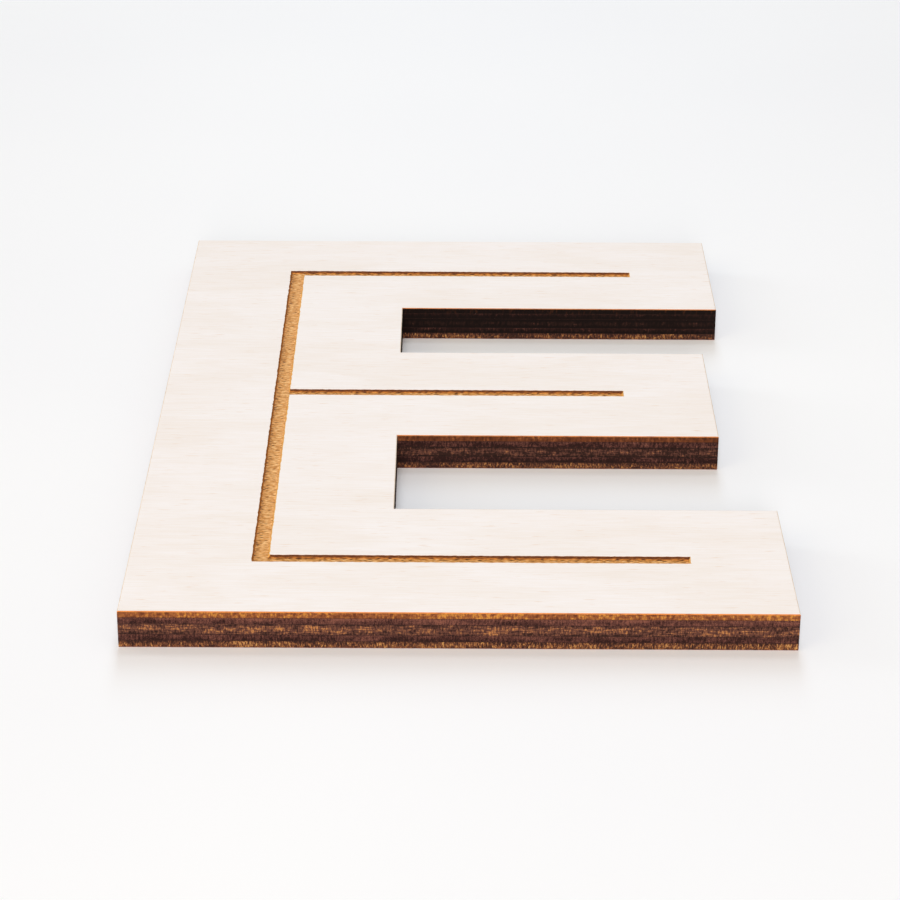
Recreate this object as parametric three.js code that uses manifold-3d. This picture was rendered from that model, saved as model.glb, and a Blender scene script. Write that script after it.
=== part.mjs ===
import * as THREE from 'three';
import { mergeVertices } from 'three/addons/utils/BufferGeometryUtils.js';
import Module from 'manifold-3d';

// Flat letter E, cut out of five-ply birch plywood, with a narrow groove engraved along its strokes.
// It lies on its back: X runs along the arms, Y up the stem and Z through the thickness.
// The origin is the middle of the rectangle that the letter covers, on the back. Sizes are millimetres.

// The letter's outline. Each arm's end is measured from the left edge of the stem.
const STEM_WIDTH = 41.5;
const BOTTOM_ARM_WIDTH = 34.7;
const BOTTOM_ARM_END = 104.0;
const LOWER_GAP = 27.6;
const MIDDLE_ARM_WIDTH = 35.2;
const MIDDLE_ARM_END = 96.8;
const UPPER_GAP = 20.6;
const TOP_ARM_WIDTH = 34.3;
const TOP_ARM_END = 101.0;

// The plywood's layers: five plies, and a line of cured glue between each two.
const BACK_VENEER_THICKNESS = 1.2;
const LOWER_CROSSBAND_THICKNESS = 1.0;
const CORE_PLY_THICKNESS = 1.8;
const UPPER_CROSSBAND_THICKNESS = 1.0;
const FACE_VENEER_THICKNESS = 1.05;
const GLUE_LINE_THICKNESS = 0.0625;

// The groove. Its widths are at the face, and its walls slope in towards a flat floor.
const STEM_GROOVE_WIDTH = 2.8;
const ARM_GROOVE_WIDTH = 2.4;
const GROOVE_DEPTH = 0.5;
const GROOVE_WALL_RUN = 0.3;
const GROOVE_END_MARGIN = 15.4;

const wasm = await Module();
wasm.setup();

// Arms from the foot of the letter up, each with its lower edge, its upper edge and its end.
function stackArms() {
  const rows = [
    { width: BOTTOM_ARM_WIDTH, end: BOTTOM_ARM_END, gapAbove: LOWER_GAP },
    { width: MIDDLE_ARM_WIDTH, end: MIDDLE_ARM_END, gapAbove: UPPER_GAP },
    { width: TOP_ARM_WIDTH, end: TOP_ARM_END, gapAbove: 0 },
  ];
  let low = 0;
  return rows.map(({ width, end, gapAbove }) => {
    const arm = { low, high: low + width, end };
    low = arm.high + gapAbove;
    return arm;
  });
}

// Outline of an E from the two sides of its stem and its arms, counter-clockwise from the foot.
function letterShape(left, right, arms) {
  const points = [[left, arms.at(0).low]];
  for (const arm of arms) {
    if (arm !== arms.at(0)) points.push([right, arm.low]);
    points.push([arm.end, arm.low], [arm.end, arm.high]);
    if (arm !== arms.at(-1)) points.push([right, arm.high]);
  }
  points.push([left, arms.at(-1).high]);
  return new THREE.Shape(points.map(([x, y]) => new THREE.Vector2(x, y)));
}

// Outline of the groove's floor, which runs along the middle of the stem and of each arm.
function grooveFloorShape(arms) {
  const stemHalf = STEM_GROOVE_WIDTH / 2 - GROOVE_WALL_RUN;
  const armHalf = ARM_GROOVE_WIDTH / 2 - GROOVE_WALL_RUN;
  const floorArms = arms.map(({ low, high, end }) => ({
    low: (low + high) / 2 - armHalf,
    high: (low + high) / 2 + armHalf,
    end: end - GROOVE_END_MARGIN - GROOVE_WALL_RUN,
  }));
  return letterShape(STEM_WIDTH / 2 - stemHalf, STEM_WIDTH / 2 + stemHalf, floorArms);
}

// The groove as a solid: it widens from the floor, through its rim at z = 0, to as far above the face.
function grooveCutter(arms) {
  const height = 2 * GROOVE_DEPTH;
  const geometry = new THREE.ExtrudeGeometry(grooveFloorShape(arms), {
    depth: GROOVE_DEPTH,
    bevelEnabled: true,
    bevelThickness: height,
    bevelSize: (GROOVE_WALL_RUN * height) / GROOVE_DEPTH,
    bevelSegments: 1,
  });
  return geometry.translate(0, 0, height - GROOVE_DEPTH);
}

function toSolid(geometry) {
  const bare = geometry.clone();
  bare.deleteAttribute('normal');
  bare.deleteAttribute('uv');
  const merged = mergeVertices(bare);
  const vertProperties = new Float32Array(merged.attributes.position.array);
  const triVerts = new Uint32Array(merged.index.array);
  return new wasm.Manifold(new wasm.Mesh({ numProp: 3, vertProperties, triVerts }));
}

function toGeometry(solid) {
  const { vertProperties, triVerts } = solid.getMesh();
  const geometry = new THREE.BufferGeometry();
  geometry.setAttribute('position', new THREE.BufferAttribute(vertProperties, 3));
  geometry.setIndex(new THREE.BufferAttribute(triVerts, 1));
  geometry.computeVertexNormals();
  return geometry;
}

// One layer of the plywood, with its lower face at z = 0.
function plainLayer(outline, thickness) {
  return new THREE.ExtrudeGeometry(outline, { depth: thickness, bevelEnabled: false });
}

// The top ply, with the groove cut into its upper face.
function engravedLayer(outline, thickness, arms) {
  const ply = toSolid(plainLayer(outline, thickness));
  const groove = toSolid(grooveCutter(arms).translate(0, 0, thickness));
  return toGeometry(ply.subtract(groove));
}

// Matt sanded veneer on top, and edges browned by the cut in every ply below it.
function woodMaterial(color) {
  return new THREE.MeshStandardMaterial({ color, roughness: 0.7, metalness: 0 });
}

// Hard resin, dark where the cut has charred it.
function glueMaterial() {
  return new THREE.MeshStandardMaterial({ color: 0x482d27, roughness: 0.45, metalness: 0 });
}

function buildLetter() {
  const arms = stackArms();
  const outline = letterShape(0, STEM_WIDTH, arms);
  const letter = new THREE.Group();
  let top = 0;

  function stack(name, geometry, thickness, material) {
    const mesh = new THREE.Mesh(geometry, material);
    mesh.name = name;
    mesh.position.z = top;
    top += thickness;
    letter.add(mesh);
  }

  function stackPly(name, thickness, color) {
    stack(name, plainLayer(outline, thickness), thickness, woodMaterial(color));
  }

  function stackGlue(name) {
    stack(name, plainLayer(outline, GLUE_LINE_THICKNESS), GLUE_LINE_THICKNESS, glueMaterial());
  }

  stackPly('back_veneer', BACK_VENEER_THICKNESS, 0x7a4d35);
  stackGlue('back_glue_line');
  stackPly('lower_crossband', LOWER_CROSSBAND_THICKNESS, 0x59382f);
  stackGlue('lower_core_glue_line');
  stackPly('core_ply', CORE_PLY_THICKNESS, 0x744a38);
  stackGlue('upper_core_glue_line');
  stackPly('upper_crossband', UPPER_CROSSBAND_THICKNESS, 0x683e35);
  stackGlue('face_glue_line');
  const face = engravedLayer(outline, FACE_VENEER_THICKNESS, arms);
  stack('face_veneer', face, FACE_VENEER_THICKNESS, woodMaterial(0xf3ece4));

  const width = Math.max(...arms.map(({ end }) => end));
  const height = arms.at(-1).high;
  letter.position.set(-width / 2, -height / 2, 0);
  return letter;
}

export default buildLetter();
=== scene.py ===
"""Looks of a flat letter E in birch plywood: a sanded face, laser-cut edges and an engraved groove.

Every layer of the plywood is a piece of its own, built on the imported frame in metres. X runs along the
arms, Y up the stem and Z through the thickness, and the letter lies on its back.
"""

import logging
import math
from collections import defaultdict
from collections.abc import Iterable
from dataclasses import dataclass, field
from enum import Enum, IntEnum

import bmesh
import bpy
from bmesh.types import BMEdge, BMesh, BMFace, BMVert
from mathutils import Matrix, Vector, noise


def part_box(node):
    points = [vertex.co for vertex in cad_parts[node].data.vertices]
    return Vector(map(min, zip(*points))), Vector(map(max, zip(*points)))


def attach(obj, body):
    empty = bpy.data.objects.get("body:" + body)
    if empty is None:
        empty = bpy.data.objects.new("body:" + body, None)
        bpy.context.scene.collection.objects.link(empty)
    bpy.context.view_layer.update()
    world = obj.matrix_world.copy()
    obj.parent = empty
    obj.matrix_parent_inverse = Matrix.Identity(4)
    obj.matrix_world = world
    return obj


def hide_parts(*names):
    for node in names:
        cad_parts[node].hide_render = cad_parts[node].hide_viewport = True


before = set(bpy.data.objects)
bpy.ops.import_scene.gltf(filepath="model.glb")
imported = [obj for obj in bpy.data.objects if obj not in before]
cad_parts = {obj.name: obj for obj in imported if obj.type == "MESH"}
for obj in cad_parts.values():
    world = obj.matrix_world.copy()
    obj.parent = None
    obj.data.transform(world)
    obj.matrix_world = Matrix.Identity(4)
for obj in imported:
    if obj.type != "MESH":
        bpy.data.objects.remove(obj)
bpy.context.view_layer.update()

MM = 0.001
SNAP = 1e-6

# Shares of a unit normal by which a face counts as level, facing along an axis, sloping or upright.
LEVEL = 0.9
FACING = 0.5
SLOPING = 0.2
UPRIGHT = 0.1

# Numbers of the Mix node's colour sockets, whose names it repeats for other kinds of value.
SHARE = 0
UNDER = 6
OVER = 7
MIXED = 2

PHOTO_SIDE_PX = 900
log = logging.getLogger("letter")


class Grain(Enum):
    """Direction that the fibres of a ply run in."""

    ALONG_ARMS = "x"
    ALONG_STEM = "y"


class Surface(IntEnum):
    """Kinds of surface on a layer. The number is the material slot."""

    FLAT = 0
    LONG_GRAIN = 1
    END_GRAIN = 2
    ARRIS = 3
    GROOVE_FLOOR = 4
    GROOVE_WALL = 5
    GROOVE_RIM = 6
    SIDE_ARRIS = 7


def linear(colour: str) -> tuple[float, float, float, float]:
    """Turn an sRGB hex colour into linear light.

    Args:
        colour: Six hex digits after a hash sign.

    Returns:
        Red, green, blue and an alpha of 1.
    """
    shares = [int(colour[i : i + 2], 16) / 255 for i in (1, 3, 5)]
    red, green, blue = (s / 12.92 if s <= 0.04045 else ((s + 0.055) / 1.055) ** 2.4 for s in shares)
    return red, green, blue, 1.0


def per_metre(*sizes_mm: float) -> tuple[float, ...]:
    """Scale of a pattern whose features have these sizes along X, Y and Z, in cells a metre."""
    return tuple(1 / (size * MM) for size in sizes_mm)


def main_axis(edge: BMEdge) -> int:
    """Find the axis that an edge runs along.

    Args:
        edge: The edge.

    Returns:
        The axis's number. An edge that climbs counts as upright.
    """
    run = edge.verts[1].co - edge.verts[0].co
    if abs(run.z) > SNAP:
        return 2
    return 0 if abs(run.x) > abs(run.y) else 1


def add(
    tree: bpy.types.NodeTree,
    kind: str,
    inputs: dict[str | int, object] | None = None,
    **settings: object,
) -> bpy.types.Node:
    """Add a node to a tree.

    Args:
        tree: Tree that the node joins.
        kind: The node's type.
        inputs: Input socket's name or number to a constant, or to the output socket that feeds it.
        settings: The node's own properties.

    Returns:
        The new node.
    """
    new = tree.nodes.new(kind)
    for name, value in settings.items():
        setattr(new, name, value)
    for key, value in (inputs or {}).items():
        if isinstance(value, bpy.types.NodeSocket):
            tree.links.new(value, new.inputs[key])
        else:
            new.inputs[key].default_value = value
    return new


@dataclass(frozen=True)
class Finish:
    """A surface of one material. Subclasses give its colour, roughness and relief."""

    name: str

    def material(self) -> bpy.types.Material:
        """Make this finish's material at its first use.

        Returns:
            The material, one for all pieces that wear the finish.
        """
        made = bpy.data.materials.get(self.name)
        if made is None:
            made = bpy.data.materials.new(self.name)
            made.use_nodes = True
            made.node_tree.nodes.clear()
            shader = add(made.node_tree, "ShaderNodeBsdfPrincipled", self.shade(made.node_tree))
            add(made.node_tree, "ShaderNodeOutputMaterial", {"Surface": shader.outputs["BSDF"]})
        return made

    def shade(self, tree: bpy.types.NodeTree) -> dict[str, object]:
        """Build the finish's nodes and return what goes into the shader's sockets."""
        raise NotImplementedError

    def pattern(
        self,
        tree: bpy.types.NodeTree,
        sizes_mm: tuple[float, float, float],
        window: tuple[float, float] = (0.3, 0.7),
        detail: float = 2.0,
        distortion: float = 0.0,
    ) -> bpy.types.NodeSocket:
        """Lay a noise over the piece whose features have real sizes.

        Args:
            tree: Tree to build in.
            sizes_mm: Size of a feature along X, Y and Z, in millimetres.
            window: Noise levels that become 0 and 1.
            detail: How many finer layers the noise has.
            distortion: How far the noise is bent.

        Returns:
            A socket that runs from 0 to 1.
        """
        place = add(tree, "ShaderNodeTexCoord")
        scaled = add(
            tree,
            "ShaderNodeMapping",
            {"Vector": place.outputs["Object"], "Scale": per_metre(*sizes_mm)},
        )
        cloud = add(
            tree,
            "ShaderNodeTexNoise",
            {"Vector": scaled.outputs[0], "Scale": 1.0, "Detail": detail, "Distortion": distortion},
        )
        spread = add(
            tree,
            "ShaderNodeMapRange",
            {"Value": cloud.outputs[0], "From Min": window[0], "From Max": window[1]},
            interpolation_type="SMOOTHSTEP",
        )
        return spread.outputs[0]

    def burn(self, tree: bpy.types.NodeTree, name: str) -> bpy.types.NodeSocket:
        """Return how burnt or stained the surface is, painted shade included, as the mesh's own attribute
        says.
        """
        return add(tree, "ShaderNodeAttribute", attribute_name=name).outputs["Fac"]

    def toned(
        self,
        tree: bpy.types.NodeTree,
        level: bpy.types.NodeSocket,
        tones: tuple[str, ...],
        steps: tuple[tuple[float, float], ...],
    ) -> bpy.types.NodeSocket:
        """Blend from the darkest tone to the lightest as a level rises.

        Args:
            tree: Tree to build in.
            level: Socket that the tones follow.
            tones: Colours in sRGB hex, the darkest first.
            steps: Levels between which each tone after the first comes in.

        Returns:
            The colour's socket.
        """
        colour = linear(tones[0])
        for tone, (low, high) in zip(tones[1:], steps):
            share = add(
                tree,
                "ShaderNodeMapRange",
                {"Value": level, "From Min": low, "From Max": high},
                interpolation_type="SMOOTHSTEP",
            )
            mix = add(
                tree,
                "ShaderNodeMix",
                {SHARE: share.outputs[0], UNDER: colour, OVER: linear(tone)},
                data_type="RGBA",
            )
            colour = mix.outputs[MIXED]
        return colour


@dataclass(frozen=True)
class SandedBirch(Finish):
    """Rotary-cut birch veneer, sanded and left bare.

    It is close, pale and matt, with faint fibre lines, a slow cloudy figure and small warm flecks. The
    fibre lines are drawn wider than real ones, so that they show.
    """

    pale: str = "#f9f3f0"
    warm: str = "#f3e9e0"
    fleck: str = "#e6cab0"
    stain: str = "#8a5a38"
    fibre_mm: tuple[float, float, float] = (5.0, 0.28, 0.28)
    figure_mm: tuple[float, float, float] = (30.0, 9.0, 9.0)
    fleck_mm: tuple[float, float, float] = (3.6, 0.33, 0.33)
    smoke_mm: tuple[float, float, float] = (4.0, 4.0, 4.0)
    fibre_height: float = 0.015 * MM

    def shade(self, tree: bpy.types.NodeTree) -> dict[str, object]:
        """Build the finish's nodes.

        Args:
            tree: Tree to build in.

        Returns:
            What goes into the shader's sockets.
        """
        fibre = self.pattern(tree, self.fibre_mm, detail=4.0)
        figure = self.pattern(tree, self.figure_mm, detail=3.0, distortion=0.8)
        flecks = self.pattern(tree, self.fleck_mm, window=(0.62, 0.85))
        drift = self.pattern(tree, self.smoke_mm, window=(0.25, 0.7), detail=4.0)
        tone = add(tree, "ShaderNodeMath", {0: fibre, 1: figure}, operation="ADD")
        half = add(tree, "ShaderNodeMath", {0: tone.outputs[0], 1: 0.5}, operation="MULTIPLY")
        wood = add(
            tree,
            "ShaderNodeMix",
            {SHARE: half.outputs[0], UNDER: linear(self.pale), OVER: linear(self.warm)},
            data_type="RGBA",
        )
        flecked = add(
            tree,
            "ShaderNodeMix",
            {SHARE: flecks, UNDER: wood.outputs[MIXED], OVER: linear(self.fleck)},
            data_type="RGBA",
        )
        smoke = add(tree, "ShaderNodeMath", {0: self.burn(tree, "stain"), 1: drift}, operation="MULTIPLY")
        stained = add(
            tree,
            "ShaderNodeMix",
            {SHARE: smoke.outputs[0], UNDER: flecked.outputs[MIXED], OVER: linear(self.stain)},
            data_type="RGBA",
        )
        rise = {"Height": fibre, "Strength": 0.3, "Distance": self.fibre_height}
        relief = add(tree, "ShaderNodeBump", rise)
        return {
            "Base Color": stained.outputs[MIXED],
            "Roughness": 0.62,
            "IOR": 1.5,
            "Specular IOR Level": 0.22,
            "Normal": relief.outputs[0],
        }


@dataclass(frozen=True)
class Streaks:
    """One pattern of bare wood in a burnt edge: its size along the edge and upright, and its weight."""

    length_mm: float
    height_mm: float
    weight: float


@dataclass(frozen=True)
class LaserCutEdge(Finish):
    """Edge of a birch ply as a laser leaves it.

    The beam browns the wood and chars it, nearly black in places, and painted shade takes it to black in
    the gaps between arms.
    Upright ripples run down the cut, and amber and gold wood shows through in streaks where the charring is
    thin.
    """

    tones: tuple[str, str, str, str] = ("#291613", "#4d2e28", "#5e3a31", "#774a3c")
    steps: tuple[tuple[float, float], ...] = ((0.0, 0.4), (0.4, 0.7), (0.65, 1.0))
    streaks: tuple[Streaks, ...] = (
        Streaks(0.15, 0.15, 0.6),
        Streaks(0.3, 1.0, 0.5),
        Streaks(5.0, 1.0, 0.5),
    )
    # Near-black tone of the strongest charring and of the gaps' painted shade.
    darkest_char_and_shade: str = "#140b09"
    darkest_char_and_shade_from: float = 0.9
    darkest_char_and_shade_full: float = 1.7
    noise_spread: float = 0.12
    streak_depth: float = 0.04 * MM

    def shade(self, tree: bpy.types.NodeTree) -> dict[str, object]:
        """Build the finish's nodes.

        Args:
            tree: Tree to build in.

        Returns:
            What goes into the shader's sockets.
        """
        weights = [streak.weight for streak in self.streaks]
        reach = 2 * self.noise_spread * math.hypot(*weights)
        middle = sum(weights) / 2
        burn = self.burn(tree, "char_and_shade")
        height = add(tree, "ShaderNodeMath", {0: burn, 1: -reach}, operation="MULTIPLY").outputs[0]
        for streak in self.streaks:
            sizes = (streak.length_mm, streak.length_mm, streak.height_mm)
            bare = self.pattern(tree, sizes, window=(0.0, 1.0))
            terms = {0: bare, 1: streak.weight, 2: height}
            height = add(tree, "ShaderNodeMath", terms, operation="MULTIPLY_ADD").outputs[0]
        span = {"Value": height, "From Min": middle - reach, "From Max": middle + reach}
        level = add(tree, "ShaderNodeMapRange", span).outputs[0]
        # The darkest tone comes in where charring and painted shade run highest, mostly in the gaps between
        # arms.
        coal = add(
            tree,
            "ShaderNodeMapRange",
            {"Value": burn, "From Min": self.darkest_char_and_shade_from, "From Max": self.darkest_char_and_shade_full},
            interpolation_type="SMOOTHSTEP",
        )
        wood = self.toned(tree, level, self.tones, self.steps)
        colour = add(
            tree,
            "ShaderNodeMix",
            {SHARE: coal.outputs[0], UNDER: wood, OVER: linear(self.darkest_char_and_shade)},
            data_type="RGBA",
        )
        rise = {"Height": level, "Strength": 0.6, "Distance": self.streak_depth}
        relief = add(tree, "ShaderNodeBump", rise)
        return {
            "Base Color": colour.outputs[MIXED],
            "Roughness": 0.8,
            "IOR": 1.5,
            "Specular IOR Level": 0.08,
            "Normal": relief.outputs[0],
        }


@dataclass(frozen=True)
class ScorchedArris(Finish):
    """Sharp birch rim where the beam met a face: a hair line of toasted orange, darker with burn and
    painted shade.
    """

    toasted: str = "#d68034"
    brown: str = "#a85a20"
    charred: str = "#2e180f"
    run_mm: tuple[float, float, float] = (2.0, 2.0, 2.0)
    char_share: float = 0.6

    def shade(self, tree: bpy.types.NodeTree) -> dict[str, object]:
        """Build the finish's nodes.

        Args:
            tree: Tree to build in.

        Returns:
            What goes into the shader's sockets.
        """
        runs = self.pattern(tree, self.run_mm, window=(0.45, 0.75), detail=3.0)
        rim = add(
            tree,
            "ShaderNodeMix",
            {SHARE: runs, UNDER: linear(self.toasted), OVER: linear(self.brown)},
            data_type="RGBA",
        )
        burnt = add(
            tree,
            "ShaderNodeMath",
            {0: self.burn(tree, "char_and_shade"), 1: self.char_share},
            operation="MULTIPLY",
            use_clamp=True,
        )
        colour = add(
            tree,
            "ShaderNodeMix",
            {SHARE: burnt.outputs[0], UNDER: rim.outputs[MIXED], OVER: linear(self.charred)},
            data_type="RGBA",
        )
        return {
            "Base Color": colour.outputs[MIXED],
            "Roughness": 0.6,
            "IOR": 1.5,
            "Specular IOR Level": 0.3,
        }


@dataclass(frozen=True)
class EngravedBirch(Finish):
    """Birch burnt away by a passing beam: golden fibre ripples, with toast and painted shade between."""

    tones: tuple[str, str, str] = ("#4f2c12", "#d2924a", "#f2c283")
    steps: tuple[tuple[float, float], ...] = ((0.05, 0.55), (0.55, 1.0))
    fibre_mm: tuple[float, float, float] = (0.9, 0.16, 0.16)
    window: tuple[float, float] = (0.1, 0.9)
    bareness: float = 0.35
    fibre_height: float = 0.04 * MM

    def shade(self, tree: bpy.types.NodeTree) -> dict[str, object]:
        """Build the finish's nodes.

        Args:
            tree: Tree to build in.

        Returns:
            What goes into the shader's sockets.
        """
        fibre = self.pattern(tree, self.fibre_mm, window=self.window, detail=3.0)
        # Low fibres are both sunk in the relief and darkened: painted shade in the hollows, with the toast.
        left = add(tree, "ShaderNodeMath", {0: fibre, 1: self.burn(tree, "char_and_shade")}, operation="SUBTRACT")
        bare = add(tree, "ShaderNodeMath", {0: left.outputs[0], 1: self.bareness}, operation="ADD")
        rise = {"Height": fibre, "Strength": 0.6, "Distance": self.fibre_height}
        relief = add(tree, "ShaderNodeBump", rise)
        return {
            "Base Color": self.toned(tree, bare.outputs[0], self.tones, self.steps),
            "Roughness": 0.7,
            "IOR": 1.5,
            "Specular IOR Level": 0.2,
            "Normal": relief.outputs[0],
        }


@dataclass(frozen=True)
class CharredGlue(Finish):
    """Cured resin between two plies, burnt to a thin dark line with browner beads in it."""

    dark: str = "#24130f"
    brown: str = "#3c241d"
    bead_mm: tuple[float, float, float] = (0.6, 0.6, 0.6)

    def shade(self, tree: bpy.types.NodeTree) -> dict[str, object]:
        """Build the finish's nodes.

        Args:
            tree: Tree to build in.

        Returns:
            What goes into the shader's sockets.
        """
        beads = self.pattern(tree, self.bead_mm, window=(0.4, 0.7), detail=3.0)
        colour = add(
            tree,
            "ShaderNodeMix",
            {SHARE: beads, UNDER: linear(self.dark), OVER: linear(self.brown)},
            data_type="RGBA",
        )
        return {
            "Base Color": colour.outputs[MIXED],
            "Roughness": 0.7,
            "IOR": 1.55,
            "Specular IOR Level": 0.1,
        }


@dataclass(frozen=True)
class WhiteBoard(Finish):
    """Matt white board under the letter, with a trace of unevenness."""

    white: str = "#fbfbfb"
    off_white: str = "#f8f8f9"
    cloud_mm: tuple[float, float, float] = (180.0, 180.0, 180.0)

    def shade(self, tree: bpy.types.NodeTree) -> dict[str, object]:
        """Build the finish's nodes.

        Args:
            tree: Tree to build in.

        Returns:
            What goes into the shader's sockets.
        """
        clouds = self.pattern(tree, self.cloud_mm)
        colour = add(
            tree,
            "ShaderNodeMix",
            {SHARE: clouds, UNDER: linear(self.white), OVER: linear(self.off_white)},
            data_type="RGBA",
        )
        return {
            "Base Color": colour.outputs[MIXED],
            "Roughness": 0.6,
            "IOR": 1.45,
            "Specular IOR Level": 0.34,
        }


@dataclass(frozen=True)
class Strokes:
    """Stem and arms of an E seen from above, in metres."""

    left: float
    right: float
    rows: tuple[tuple[float, float], ...]
    ends: tuple[float, ...]

    @classmethod
    def read(cls, points: Iterable[Vector]) -> "Strokes":
        """Read the strokes from the corners of an outline.

        Args:
            points: The outline's corners.

        Returns:
            The stem's two sides, and each arm's two edges and its end.
        """
        corners = [(round(p.x, 6), round(p.y, 6)) for p in points]
        xs = sorted({x for x, _ in corners})
        ys = sorted({y for _, y in corners})
        rows = tuple(zip(ys[0::2], ys[1::2]))
        ends = tuple(max(x for x, y in corners if low <= y <= high) for low, high in rows)
        return cls(left=xs[0], right=xs[1], rows=rows, ends=ends)

    def cuts(self) -> list[tuple[Vector, Vector]]:
        """List the lines that the outline follows.

        Returns:
            A point and a normal for each line.
        """
        across = [(Vector((x, 0, 0)), Vector((1, 0, 0))) for x in (self.left, self.right, *self.ends)]
        along = [(Vector((0, y, 0)), Vector((0, 1, 0))) for row in self.rows for y in row]
        return across + along

    def covers(self, point: Vector) -> bool:
        """Tell whether a point lies on the stem or on an arm.

        Args:
            point: The point. Its height doesn't matter.

        Returns:
            True where it does.
        """
        on_stem = self.left < point.x < self.right and self.rows[0][0] < point.y < self.rows[-1][1]
        on_arm = any(
            self.left < point.x < end and low < point.y < high
            for (low, high), end in zip(self.rows, self.ends)
        )
        return on_stem or on_arm

    def corners(self) -> tuple[Vector, Vector]:
        """Return the lowest and highest corner of the rectangle that the strokes fill."""
        return Vector((self.left, self.rows[0][0], 0)), Vector((max(self.ends), self.rows[-1][1], 0))


@dataclass
class Layer:
    """One layer of the plywood, a ply or a line of glue, as a closed mesh with a worked edge."""

    node: str
    slot: str
    finishes: dict[Surface, Finish]
    grain: Grain = Grain.ALONG_ARMS
    burn_top: float = 0.0
    burn_bottom: float = 0.0
    burn_sides: float = 0.0
    # Painted shade on the edge where it faces the lower and the upper gap between arms.
    gap_painted_shades: tuple[float, float] = (0.8, 1.6)
    # Deeper ripples of the cut are painted darker: charring and painted shade in their hollows.
    ripple_char_and_shade: float = 0.5
    ripple_gain: float = 0.8
    ripple_depth: float = 0.05 * MM
    ripple_width: float = 0.28 * MM
    ripple_drop: float = 0.9 * MM
    column: float = 0.15 * MM
    row: float = 0.25 * MM
    sharp_fold: float = math.radians(50)
    strokes: Strokes = field(init=False)
    bottom: float = field(init=False)
    top: float = field(init=False)

    def __post_init__(self) -> None:
        """Take the layer's place and outline from its node in the frame."""
        low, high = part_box(self.node)
        self.bottom, self.top = low.z, high.z
        self.strokes = Strokes.read(self.corners_at(self.bottom))

    def corners_at(self, level: float) -> list[Vector]:
        """Return the node's corners at a height, in metres."""
        points = (v.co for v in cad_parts[self.node].data.vertices)
        return [p.copy() for p in points if abs(p.z - level) < SNAP]

    def outlines(self) -> list[Strokes]:
        """Return the outlines that the sheet is cut along."""
        return [self.strokes]

    def build(self) -> bpy.types.Object:
        """Build the layer's mesh, dress it and put it on the frame.

        Returns:
            The finished piece.
        """
        bm = self.sheet()
        self.thicken(bm)
        self.carve(bm)
        self.divide_walls(bm)
        self.sort_faces(bm)
        self.ease_arrises(bm)
        self.erode(bm)
        self.mark_sharp(bm)
        return self.place(bm)

    def sheet(self) -> BMesh:
        """Cut a flat rectangle along the outlines and keep what the letter covers.

        Returns:
            The sheet, one face thick, at the layer's bottom.
        """
        low, high = self.strokes.corners()
        middle = (low + high) / 2 + Vector((0, 0, self.bottom))
        size = high - low
        bm = bmesh.new()
        bmesh.ops.create_grid(
            bm,
            x_segments=1,
            y_segments=1,
            size=0.5,
            matrix=Matrix.Translation(middle) @ Matrix.Diagonal((size.x, size.y, 1, 1)),
        )
        for outline in self.outlines():
            for point, normal in outline.cuts():
                geom = bm.verts[:] + bm.edges[:] + bm.faces[:]
                bmesh.ops.bisect_plane(bm, geom=geom, dist=SNAP, plane_co=point, plane_no=normal)
        outside = [f for f in bm.faces if not self.strokes.covers(f.calc_center_median())]
        bmesh.ops.delete(bm, geom=outside, context="FACES")
        return bm

    def thicken(self, bm: BMesh) -> None:
        """Raise the sheet to the layer's thickness.

        Args:
            bm: The mesh.
        """
        raised = bmesh.ops.extrude_face_region(bm, geom=bm.faces[:])
        verts = [g for g in raised["geom"] if isinstance(g, BMVert)]
        bmesh.ops.translate(bm, vec=(0, 0, self.top - self.bottom), verts=verts)
        bmesh.ops.recalc_face_normals(bm, faces=bm.faces[:])

    def carve(self, bm: BMesh) -> None:
        """Cut into the layer's flat faces. A plain layer has nothing cut into it."""

    def walls(self, bm: BMesh) -> list[BMFace]:
        """Return the upright faces of the cut edge."""
        bm.normal_update()
        return [f for f in bm.faces if abs(f.normal.z) < UPRIGHT]

    def cut_runs(
        self,
        bm: BMesh,
        edges: Iterable[BMEdge],
        spacing: float,
        lengths: dict[BMEdge, float] | None = None,
    ) -> None:
        """Divide edges into stretches of about one spacing.

        Args:
            bm: The mesh.
            edges: Edges to divide.
            spacing: Length of a stretch, in metres.
            lengths: Length to go by for some of the edges, in place of their own.
        """
        groups = defaultdict(list)
        for edge in edges:
            length = (lengths or {}).get(edge) or edge.calc_length()
            groups[round(length / spacing) - 1].append(edge)
        for cuts, group in groups.items():
            if cuts > 0:
                bmesh.ops.subdivide_edges(bm, edges=group, cuts=cuts, use_grid_fill=True)

    def divide_walls(self, bm: BMesh) -> None:
        """Divide the cut edge into rows through the thickness and columns along it.

        Args:
            bm: The mesh.
        """
        for upright, spacing in ((True, self.row), (False, self.column)):
            walls = set(self.walls(bm))
            edges = [e for e in bm.edges if any(f in walls for f in e.link_faces)]
            self.cut_runs(bm, [e for e in edges if (main_axis(e) == 2) is upright], spacing)

    def gap_painted_shade(self, point: Vector, normal: Vector) -> float:
        """Find how much painted shade a point gets where it faces a gap between two arms.

        Args:
            point: Point on the cut edge.
            normal: Direction that the edge faces there.

        Returns:
            What the gap's painted shade adds to the burn, or 0 outside the gaps.
        """
        rows = self.strokes.rows
        for (_, low), (high, _), burn in zip(rows, rows[1:], self.gap_painted_shades):
            at_stem = abs(point.x - self.strokes.right) < self.ripple_depth + SNAP and normal.x > FACING
            if low - SNAP < point.y < high + SNAP and (abs(normal.y) > FACING or at_stem):
                return burn
        return 0.0

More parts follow.
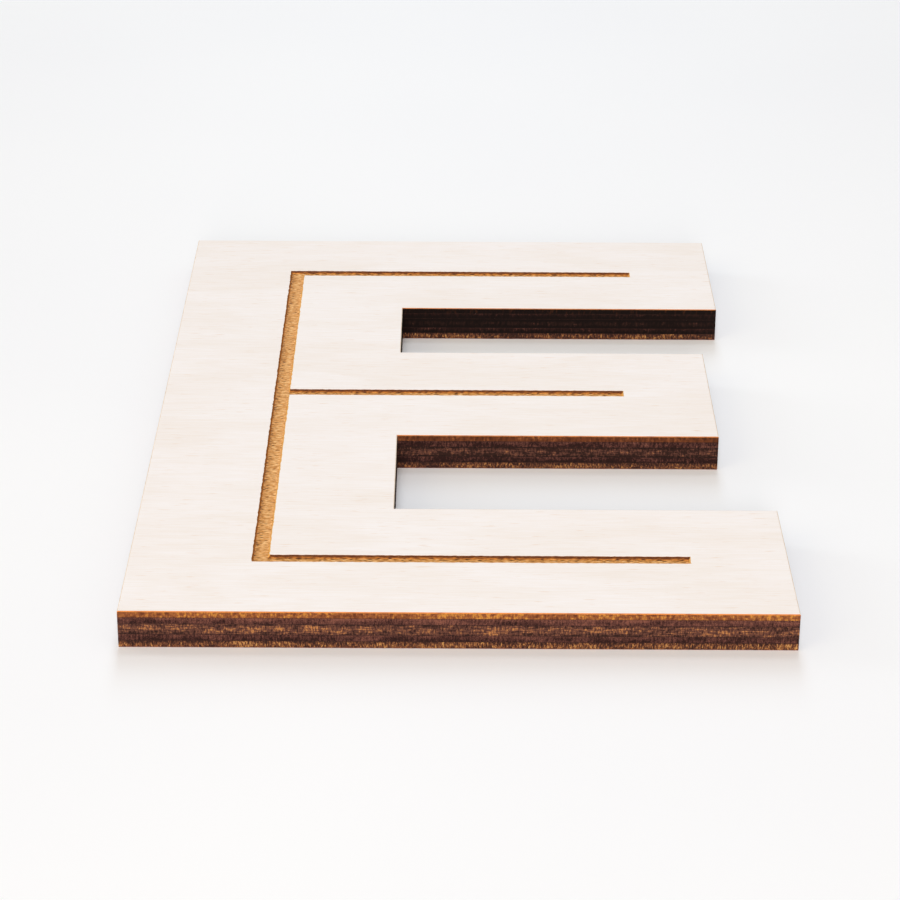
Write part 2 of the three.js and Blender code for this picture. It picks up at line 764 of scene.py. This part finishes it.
    def erode(self, bm: BMesh) -> None:
        """Ripple the cut edge as the beam does, and note where it burnt deepest and where shade is painted.

        Args:
            bm: The mesh.
        """
        # This attribute holds charring and painted shade together.
        char_and_shade = bm.verts.layers.float.new("char_and_shade")
        walls = set(self.walls(bm))
        thickness = self.top - self.bottom
        moves = []
        for vert in bm.verts:
            faces = [f for f in vert.link_faces if f in walls]
            normals = {tuple(round(c) for c in f.normal) for f in faces}
            if not normals:
                continue
            normal = Vector(min(normals))
            point = vert.co
            along = Vector((point.x, point.y, 0)) / self.ripple_width
            ripple = noise.noise(along + Vector((0, 0, point.z / self.ripple_drop)))
            # Deeper bites are painted darker too: charring and painted shade in the ripples' hollows.
            bite = min(max(0.5 + self.ripple_gain * ripple, 0.0), 1.0)
            height = (point.z - self.bottom) / thickness
            burn = self.burn_bottom + (self.burn_top - self.burn_bottom) * height
            burn += self.burn_sides * (2 * height - 1) ** 2
            # The gaps between arms add painted shade to the burn.
            vert[char_and_shade] = burn + self.gap_painted_shade(point, normal) + self.ripple_char_and_shade * (bite - 0.5)
            if len(faces) == len(vert.link_faces) and len(normals) == 1:
                moves.append((vert, point - normal * bite * self.ripple_depth))
        for vert, place in moves:
            vert.co = place

    def sort_faces(self, bm: BMesh) -> None:
        """Give each face the material slot of its surface.

        Args:
            bm: The mesh.
        """
        for face in bm.faces:
            face.material_index = Surface.FLAT
        for face in self.walls(bm):
            runs_along = Grain.ALONG_ARMS if abs(face.normal.y) > abs(face.normal.x) else Grain.ALONG_STEM
            face.material_index = Surface.LONG_GRAIN if runs_along is self.grain else Surface.END_GRAIN

    def ease_arrises(self, bm: BMesh) -> None:
        """Ease the sharp rims. Inside the plywood there are none to ease."""

    def ease(self, bm: BMesh, edges: list[BMEdge], width: float, surface: Surface) -> None:
        """Bevel some rims.

        Args:
            bm: The mesh.
            edges: The rims' edges.
            width: Width of the bevel, in metres.
            surface: Kind of surface that the bevel becomes.
        """
        eased = bmesh.ops.bevel(
            bm,
            geom=edges,
            offset=width,
            offset_type="OFFSET",
            segments=2,
            profile=0.5,
            affect="EDGES",
            clamp_overlap=False,
            material=-1,
        )
        for face in eased["faces"]:
            face.material_index = surface
            if surface is Surface.ARRIS and abs(face.normal.x) > abs(face.normal.y):
                face.material_index = Surface.SIDE_ARRIS

    def rim_edges(self, bm: BMesh, level: float) -> list[BMEdge]:
        """Find the outer rim's edges, between a flat face and the cut edge.

        Args:
            bm: The mesh.
            level: The rim's height, in metres.

        Returns:
            The edges.
        """
        walls = set(self.walls(bm))
        return [
            e
            for e in bm.edges
            if all(abs(v.co.z - level) < SNAP for v in e.verts)
            and sum(f in walls for f in e.link_faces) == 1
        ]

    def mark_sharp(self, bm: BMesh) -> None:
        """Shade each surface smoothly and keep the lines between surfaces sharp.

        Args:
            bm: The mesh.
        """
        for face in bm.faces:
            face.smooth = True
        for edge in bm.edges:
            first, second = edge.link_faces
            folded = first.normal.angle(second.normal) > self.sharp_fold
            edge.smooth = first.material_index == second.material_index and not folded

    def place(self, bm: BMesh) -> bpy.types.Object:
        """Turn the mesh into a piece that stands for its node.

        Args:
            bm: The mesh, which is used up.

        Returns:
            The piece, dressed and on the frame.
        """
        mesh = bpy.data.meshes.new(f"cut_{self.node}")
        surfaces = {face.material_index for face in bm.faces}
        skins = {s: self.finishes.get(Surface(s), self.finishes[Surface.FLAT]) for s in sorted(surfaces)}
        worn = list(dict.fromkeys(skins.values()))
        for face in bm.faces:
            face.material_index = worn.index(skins[face.material_index])
        bm.to_mesh(mesh)
        bm.free()
        for finish in worn:
            mesh.materials.append(finish.material())
        piece = bpy.data.objects.new(mesh.name, mesh)
        bpy.context.scene.collection.objects.link(piece)
        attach(piece, "root")
        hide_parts(self.node)
        return piece


@dataclass
class BackVeneer(Layer):
    """Bottom ply: its rim is rounded and its underside smoke-stained where the beam came out."""

    arris: float = 0.12 * MM
    stain_width: float = 2.6 * MM
    stain_level: float = 0.75

    def carve(self, bm: BMesh) -> None:
        """Draw the inner edge of the stained border on the underside.

        Args:
            bm: The mesh.
        """
        bm.normal_update()
        under = [f for f in bm.faces if f.normal.z < -LEVEL]
        bmesh.ops.inset_region(bm, faces=under, thickness=self.stain_width, use_even_offset=True)

    def erode(self, bm: BMesh) -> None:
        """Ripple the cut edge, and stain the rim of the underside.

        Args:
            bm: The mesh.
        """
        super().erode(bm)
        stain = bm.verts.layers.float.new("stain")
        flat = {f for f in bm.faces if f.material_index == Surface.FLAT and f.normal.z < -LEVEL}
        for vert in {v for f in flat for v in f.verts}:
            if any(f not in flat for f in vert.link_faces):
                vert[stain] = self.stain_level

    def ease_arrises(self, bm: BMesh) -> None:
        """Round the rim that the letter lies on."""
        self.ease(bm, self.rim_edges(bm, self.bottom), self.arris, Surface.ARRIS)


@dataclass
class FaceVeneer(Layer):
    """Top ply, with the engraved groove in its sanded face."""

    arris: float = 0.14 * MM
    groove_rim: float = 0.03 * MM
    fray_width: float = 0.1 * MM
    fray_length: float = 0.7 * MM
    fray_lean: float = 0.05 * MM
    fray_seed: float = 3.0 * MM
    floor_along: float = 0.18 * MM
    floor_across: float = 0.13 * MM
    wall_row: float = 0.2 * MM
    ripple_height: float = 0.16 * MM
    ripple_length: float = 0.8 * MM
    ripple_pitch: float = 0.32 * MM
    floor_burn: float = 0.18
    # Hollows of the floor's ripples are painted darker: charring, and painted shade in the hollows.
    hollow_char_and_shade: float = 0.55
    floor_burn_limits: tuple[float, float] = (-0.2, 0.9)
    # Painted shade on the groove's walls by the way they face the light, fading towards the floor; below 0
    # it is painted light.
    foot_wall_painted_shade: float = 0.95
    end_wall_painted_shade: float = 0.7
    far_wall_painted_shade: float = -0.3
    wall_shade_fade: float = 0.5
    # Soot and painted shadow on the groove's floor beside the walls that shade it.
    soot_and_shadow: float = 0.24
    soot_and_shadow_width: float = 1.1 * MM
    rim: Strokes = field(init=False)
    floor: Strokes = field(init=False)
    floor_level: float = field(init=False)

    def __post_init__(self) -> None:
        """Take the groove's rim and floor from the node as well."""
        super().__post_init__()
        points = [v.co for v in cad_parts[self.node].data.vertices]
        self.floor_level = next(p.z for p in points if self.bottom + SNAP < p.z < self.top - SNAP)
        self.floor = Strokes.read(self.corners_at(self.floor_level))
        outer = {(round(p.x, 6), round(p.y, 6)) for p in self.corners_at(self.bottom)}
        upper = self.corners_at(self.top)
        self.rim = Strokes.read(p for p in upper if (round(p.x, 6), round(p.y, 6)) not in outer)

    def outlines(self) -> list[Strokes]:
        """Return the letter's outline and the groove's rim."""
        return [self.strokes, self.rim]

    def carve(self, bm: BMesh) -> None:
        """Sink the groove with its sloping walls, and divide its floor and walls finely.

        Args:
            bm: The mesh.
        """
        bm.normal_update()
        level = [f for f in bm.faces if f.normal.z > LEVEL]
        inside = [f for f in level if self.rim.covers(f.calc_center_median())]
        bmesh.ops.inset_region(
            bm,
            faces=inside,
            thickness=self.floor.left - self.rim.left,
            depth=self.floor_level - self.top,
            use_even_offset=True,
        )
        for axis, spacing in enumerate((self.floor_along, self.floor_across, self.wall_row)):
            self.divide_groove(bm, axis, spacing)

    def divide_groove(self, bm: BMesh, axis: int, spacing: float) -> None:
        """Divide the groove's faces along one axis, with as many parts on both sides of each face.

        Args:
            bm: The mesh.
            axis: Number of the axis.
            spacing: Length of a part, in metres.
        """
        inner = {v for v in bm.verts if self.bottom + SNAP < v.co.z < self.top - SNAP}
        groove = {f for f in bm.faces if any(v in inner for v in f.verts)}
        lengths: dict[BMEdge, float] = {}
        for edge in bm.edges:
            sunk = any(f in groove for f in edge.link_faces)
            if sunk and edge not in lengths and main_axis(edge) == axis:
                ring = self.ring(edge, groove)
                longest = max(e.calc_length() for e in ring)
                lengths.update(dict.fromkeys(ring, longest))
        self.cut_runs(bm, lengths, spacing, lengths)

    def ring(self, start: BMEdge, faces: set[BMFace]) -> list[BMEdge]:
        """Follow a ring of edges from one four-sided face to the next.

        Args:
            start: Edge to start from.
            faces: Faces that the ring may cross.

        Returns:
            The edge and those across from it.
        """
        found = [start]
        for edge in found:
            for loop in edge.link_loops:
                across = loop.link_loop_next.link_loop_next.edge
                if loop.face in faces and across not in found:
                    found.append(across)
        return found

    def erode(self, bm: BMesh) -> None:
        """Ripple the cut edge, raise the floor's fibres in ripples along the grain, and paint shade on the
        groove.

        Args:
            bm: The mesh.
        """
        super().erode(bm)
        char_and_shade = bm.verts.layers.float["char_and_shade"]
        slopes = [f for f in bm.faces if f.material_index in (Surface.GROOVE_WALL, Surface.GROOVE_RIM)]
        # Walls and rims of the groove get painted shade where they face away from the light and painted
        # light where they face it.
        for face in slopes:
            for vert in face.verts:
                depth = (self.top - vert.co.z) / (self.top - self.floor_level)
                vert[char_and_shade] = self.wall_painted_shade(face.normal) * (1 - self.wall_shade_fade * depth)
        least, most = self.floor_burn_limits
        floor = {f for f in bm.faces if f.material_index == Surface.GROOVE_FLOOR}
        for vert in {v for f in floor for v in f.verts}:
            place = Vector((vert.co.x / self.ripple_length, vert.co.y / self.ripple_pitch, 0))
            finer = place * 2.1 + Vector((7, 3, 1))
            swell = noise.noise(place) + noise.noise(finer) / 2
            # Lower points of the floor get more charring and painted shade.
            burn = min(max(self.floor_burn - self.hollow_char_and_shade * swell, least), most)
            # Beside the stem's left wall and the arms' far walls the floor gets soot and painted shadow.
            vert[char_and_shade] = burn + self.floor_soot_and_shadow(vert.co)
            if all(f in floor for f in vert.link_faces):
                vert.co.z += self.ripple_height / 2 * swell

    def wall_painted_shade(self, normal: Vector) -> float:
        """Find a groove wall's painted shade: most where it faces the foot or the arms' ends, away from the
        light.

        Args:
            normal: Direction that the wall faces.

        Returns:
            The painted shade at the wall's top; below 0 it is painted light.
        """
        if normal.y < -SLOPING:
            return self.foot_wall_painted_shade
        return self.end_wall_painted_shade if normal.x > SLOPING else self.far_wall_painted_shade

    def floor_soot_and_shadow(self, point: Vector) -> float:
        """Find how dark the groove's floor is beside the walls that shade it: soot and painted shadow.

        Args:
            point: Point on the floor.

        Returns:
            What the soot and painted shadow add to the burn.
        """
        away = point.x - self.floor.left
        if point.x > self.floor.right:
            away = next(high for _, high in self.floor.rows if high > point.y - SNAP) - point.y
        return self.soot_and_shadow * max(1 - away / self.soot_and_shadow_width, 0.0)

    def fray_rim(self, bm: BMesh) -> None:
        """Wander the groove's rim and lean it inwards a little, as burnt fibres break.

        Args:
            bm: The mesh.
        """
        rim = [e for e in bm.edges if self.is_groove_rim(e)]
        moves = {}
        for edge in rim:
            across = 1 - main_axis(edge)
            wall = next(f for f in edge.link_faces if f.material_index == Surface.GROOVE_WALL)
            inwards = wall.calc_center_median()[across] - edge.verts[0].co[across]
            for vert in edge.verts:
                sway = noise.noise(Vector((vert.co.x, vert.co.y, self.fray_seed)) / self.fray_length)
                lean = math.copysign(self.fray_lean, inwards)
                moves.setdefault(vert, Vector())[across] = sway * self.fray_width + lean
        for vert, move in moves.items():
            vert.co += move

    def is_groove_rim(self, edge: BMEdge) -> bool:
        """Tell whether an edge lies between the sanded face and a wall of the groove."""
        return {f.material_index for f in edge.link_faces} == {Surface.FLAT, Surface.GROOVE_WALL}

    def sort_faces(self, bm: BMesh) -> None:
        """Give each face the material slot of its surface, the groove's own among them.

        Args:
            bm: The mesh.
        """
        super().sort_faces(bm)
        low, high = self.floor_level - self.ripple_height, self.top - SNAP
        for face in bm.faces:
            middle = face.calc_center_median()
            if face.material_index == Surface.FLAT and low < middle.z < high:
                is_floor = self.floor.covers(middle)
                face.material_index = Surface.GROOVE_FLOOR if is_floor else Surface.GROOVE_WALL

    def ease_arrises(self, bm: BMesh) -> None:
        """Ease the face's outer rim and the groove's rim.

        Args:
            bm: The mesh.
        """
        self.ease(bm, self.rim_edges(bm, self.top), self.arris, Surface.ARRIS)
        self.fray_rim(bm)
        groove = [e for e in bm.edges if self.is_groove_rim(e)]
        self.ease(bm, groove, self.groove_rim, Surface.GROOVE_RIM)


@dataclass
class Letter:
    """The plywood letter: five plies and the glue between them, from the back up."""

    glue_column: float = 2.0 * MM

    def layers(self) -> list[Layer]:
        """Describe the layers, each with its finishes.

        Returns:
            The layers, from the back up.
        """
        face = SandedBirch("birch_veneer_sanded")
        back = SandedBirch("birch_veneer_back", pale="#f0e4d2", warm="#e4d2b8", fleck="#cfae86")
        raw = SandedBirch("birch_veneer_inside", pale="#e8d8bf", warm="#dcc6a6")
        arris = ScorchedArris("birch_arris_scorched")
        side_arris = ScorchedArris("birch_arris_toasted", toasted="#f0dfca", brown="#e2c4a0")
        exit_arris = ScorchedArris("birch_arris_charred", toasted="#8a4a34", brown="#4a2c22")
        end_grain = LaserCutEdge("birch_end_grain_laser_cut")
        return [
            BackVeneer(
                "back_veneer",
                "back_birch",
                {
                    Surface.FLAT: back,
                    Surface.LONG_GRAIN: LaserCutEdge(
                        "birch_back_edge_laser_cut",
                        tones=("#311e19", "#5b3829", "#895734", "#b68850"),
                        streaks=(Streaks(0.22, 0.6, 1.1), Streaks(7.0, 2.0, 0.5), Streaks(0.15, 0.15, 0.6)),
                    ),
                    Surface.END_GRAIN: end_grain,
                    Surface.ARRIS: exit_arris,
                    Surface.SIDE_ARRIS: exit_arris,
                },
                burn_top=0.25,
                burn_bottom=0.0,
                burn_sides=0.35,
                gap_painted_shades=(0.2, 0.25),
            ),
            self.glue("back_glue_line"),
            self.crossband("lower_crossband", raw, burns=(0.1, 0.7), gap_painted_shades=(0.55, 1.0)),
            self.glue("lower_core_glue_line"),
            Layer(
                "core_ply",
                "core_birch",
                {
                    Surface.FLAT: raw,
                    Surface.LONG_GRAIN: LaserCutEdge(
                        "birch_core_edge_laser_cut",
                        tones=("#2d1b16", "#56362d", "#7f5138", "#b07742"),
                        steps=((0.0, 0.4), (0.5, 0.8), (0.8, 1.05)),
                        streaks=(
                            Streaks(3.5, 1.0, 0.6),
                            Streaks(0.25, 0.6, 0.8),
                            Streaks(2.0, 0.2, 0.8),
                            Streaks(0.15, 0.15, 0.5),
                        ),
                    ),
                    Surface.END_GRAIN: end_grain,
                },
                burn_top=-0.1,
                burn_bottom=-0.1,
                burn_sides=0.75,
                gap_painted_shades=(0.7, 1.5),
            ),
            self.glue("upper_core_glue_line"),
            self.crossband("upper_crossband", raw, burns=(-0.3, 0.2), gap_painted_shades=(0.75, 1.6)),
            self.glue("face_glue_line"),
            FaceVeneer(
                "face_veneer",
                "face_birch",
                {
                    Surface.FLAT: face,
                    Surface.LONG_GRAIN: LaserCutEdge(
                        "birch_face_edge_laser_cut",
                        tones=("#61341d", "#7c4729", "#8f562d", "#b87c36"),
                        streaks=(
                            Streaks(0.7, 0.5, 0.9),
                            Streaks(0.25, 0.7, 0.8),
                            Streaks(0.13, 0.13, 0.5),
                            Streaks(8.0, 3.0, 0.6),
                        ),
                    ),
                    Surface.END_GRAIN: end_grain,
                    Surface.ARRIS: arris,
                    Surface.SIDE_ARRIS: side_arris,
                    Surface.GROOVE_FLOOR: EngravedBirch("birch_groove_floor_engraved"),
                    # Tones of the groove's walls run from painted shade to painted light.
                    Surface.GROOVE_WALL: EngravedBirch(
                        "birch_groove_wall_engraved",
                        tones=("#55280b", "#c47c30", "#f8c26a"),
                        window=(-0.4, 1.4),
                    ),
                    Surface.GROOVE_RIM: ScorchedArris(
                        "birch_groove_rim_scorched",
                        toasted="#f0ca94",
                        brown="#dfae6c",
                        charred="#a0561e",
                    ),
                },
                gap_painted_shades=(1.1, 1.7),
            ),
        ]

    def glue(self, node: str) -> Layer:
        """Describe a glue line, which the beam leaves flush with the plies.

        Args:
            node: The glue line's node.

        Returns:
            The glue line.
        """
        finish = CharredGlue("phenolic_glue_charred")
        return Layer(
            node,
            "cured_glue",
            {Surface.FLAT: finish},
            ripple_depth=0.0,
            column=self.glue_column,
        )

    def crossband(
        self,
        node: str,
        raw: Finish,
        burns: tuple[float, float],
        gap_painted_shades: tuple[float, float],
    ) -> Layer:
        """Describe a ply whose fibres run up the stem.

        Args:
            node: The ply's node.
            raw: Finish of its glued faces.
            burns: How burnt its edge is at the top and at the bottom.
            gap_painted_shades: How much painted shade its edge gets in the lower and the upper gap.

        Returns:
            The ply.
        """
        long_grain = LaserCutEdge(
            "birch_crossband_long_grain_laser_cut",
            tones=("#2a1612", "#5c352a", "#8a5138", "#c08450"),
            streaks=(Streaks(6.0, 1.2, 0.9), Streaks(0.25, 0.7, 0.9), Streaks(0.15, 0.15, 0.4)),
        )
        end_grain = LaserCutEdge("birch_end_grain_laser_cut")
        return Layer(
            node,
            "crossband_birch",
            {Surface.FLAT: raw, Surface.LONG_GRAIN: long_grain, Surface.END_GRAIN: end_grain},
            grain=Grain.ALONG_STEM,
            burn_top=burns[0],
            burn_bottom=burns[1],
            gap_painted_shades=gap_painted_shades,
        )

    def build(self) -> None:
        """Build every layer and report it."""
        for layer in self.layers():
            piece = layer.build()
            log.info("%s: %d faces", piece.name, len(piece.data.polygons))


@dataclass(frozen=True)
class Lamp:
    """A soft oval light that gives a level floor at the letter a share of full brightness.

    Its heading is clockwise from straight behind, in degrees, and its distance and sizes are in metres.
    """

    name: str
    tint: str
    share: float
    heading: float
    elevation: float
    distance: float
    width: float
    height: float

    def hang(self) -> None:
        """Hang the lamp at its heading and elevation, and turn it to the letter."""
        lamp = bpy.data.lights.new(self.name, "AREA")
        lamp.shape = "ELLIPSE"
        lamp.size = self.width
        lamp.size_y = self.height
        rise = math.radians(self.elevation)
        reach = math.hypot(self.distance, (self.width + self.height) / 4)
        red, green, blue, _ = linear(self.tint)
        lamp.color = (red, green, blue)
        lamp.energy = self.share * (math.pi * reach) ** 2 / math.sin(rise) / green
        holder = bpy.data.objects.new(self.name, lamp)
        turn = Matrix.Rotation(math.radians(180 - self.heading), 4, "Z")
        tip = Matrix.Rotation(math.pi / 2 - rise, 4, "X")
        holder.matrix_world = turn @ tip @ Matrix.Translation((0, 0, self.distance))
        bpy.context.scene.collection.objects.link(holder)


@dataclass
class Studio:
    """White floor, soft light from behind, above, in front and the left, and the photograph's viewpoint.

    Angles are in degrees.
    """

    floor_size: float = 5.0
    lamps: tuple[Lamp, ...] = (
        Lamp(
            "window", "#d9ecff", share=0.143, heading=0.0, elevation=36.0,
            distance=5.2, width=1.2, height=4.0,
        ),
        Lamp(
            "left_window", "#f6faff", share=0.037, heading=285.0, elevation=16.0,
            distance=3.0, width=1.3, height=1.3,
        ),
        Lamp(
            "ceiling", "#ecf6ff", share=0.108, heading=10.0, elevation=70.0,
            distance=2.5, width=0.7, height=0.7,
        ),
        Lamp(
            "front_wall", "#fff9f6", share=0.459, heading=180.7, elevation=30.5,
            distance=3.4, width=1.0, height=3.4,
        ),
        Lamp(
            "side_wall", "#ffedc8", share=0.05, heading=232.0, elevation=35.0,
            distance=2.5, width=1.5, height=1.5,
        ),
    )
    sky: str = "#fff7ea"
    sky_strength: float = 0.21
    backdrop: str = "#f8f8f8"
    camera_at_mm: tuple[float, float, float] = (-1.858, -448.960, 215.062)
    pitch: float = 25.9286
    yaw: float = 0.0578
    roll: float = -0.3277
    focal_px: float = 2806.5
    sensor_mm: float = 36.0
    nearest: float = 10 * MM

    def build(self) -> None:
        """Make the floor, the light and the camera."""
        self.lay_floor()
        for lamp in self.lamps:
            lamp.hang()
        self.fill_room()
        self.set_camera()
        bpy.context.scene.view_settings.view_transform = "Standard"

    def lay_floor(self) -> None:
        """Lay the white board that the letter lies on."""
        bm = bmesh.new()
        bmesh.ops.create_grid(bm, x_segments=8, y_segments=8, size=self.floor_size / 2)
        mesh = bpy.data.meshes.new("floor")
        bm.to_mesh(mesh)
        bm.free()
        mesh.materials.append(WhiteBoard("board_matt_white").material())
        floor = bpy.data.objects.new("floor", mesh)
        bpy.context.scene.collection.objects.link(floor)

    def fill_room(self) -> None:
        """Fill the room with a little even light, and show it white behind the floor."""
        world = bpy.data.worlds.new("room")
        world.use_nodes = True
        tree = world.node_tree
        tree.nodes.clear()
        sky = add(tree, "ShaderNodeBackground", {"Color": linear(self.sky), "Strength": self.sky_strength})
        seen = add(tree, "ShaderNodeBackground", {"Color": linear(self.backdrop), "Strength": 1.0})
        rays = add(tree, "ShaderNodeLightPath")
        mix = add(
            tree,
            "ShaderNodeMixShader",
            {0: rays.outputs["Is Camera Ray"], 1: sky.outputs[0], 2: seen.outputs[0]},
        )
        add(tree, "ShaderNodeOutputWorld", {"Surface": mix.outputs[0]})
        bpy.context.scene.world = world

    def set_camera(self) -> None:
        """Stand the camera where the photograph was taken from."""
        camera = bpy.data.cameras.new("camera")
        camera.sensor_width = self.sensor_mm
        camera.lens = self.focal_px / PHOTO_SIDE_PX * self.sensor_mm
        camera.clip_start = self.nearest
        holder = bpy.data.objects.new("camera", camera)
        turn = Matrix.Rotation(math.radians(-self.yaw), 4, "Z")
        tip = Matrix.Rotation(math.radians(90 - self.pitch), 4, "X")
        bank = Matrix.Rotation(math.radians(-self.roll), 4, "Z")
        place = Matrix.Translation(Vector(self.camera_at_mm) * MM)
        holder.matrix_world = place @ turn @ tip @ bank
        bpy.context.scene.collection.objects.link(holder)
        bpy.context.scene.camera = holder


def main() -> None:
    """Build the letter and the studio around it."""
    logging.basicConfig(level=logging.INFO, format="%(name)s: %(message)s")
    Letter().build()
    Studio().build()


if __name__ == "__main__":
    main()
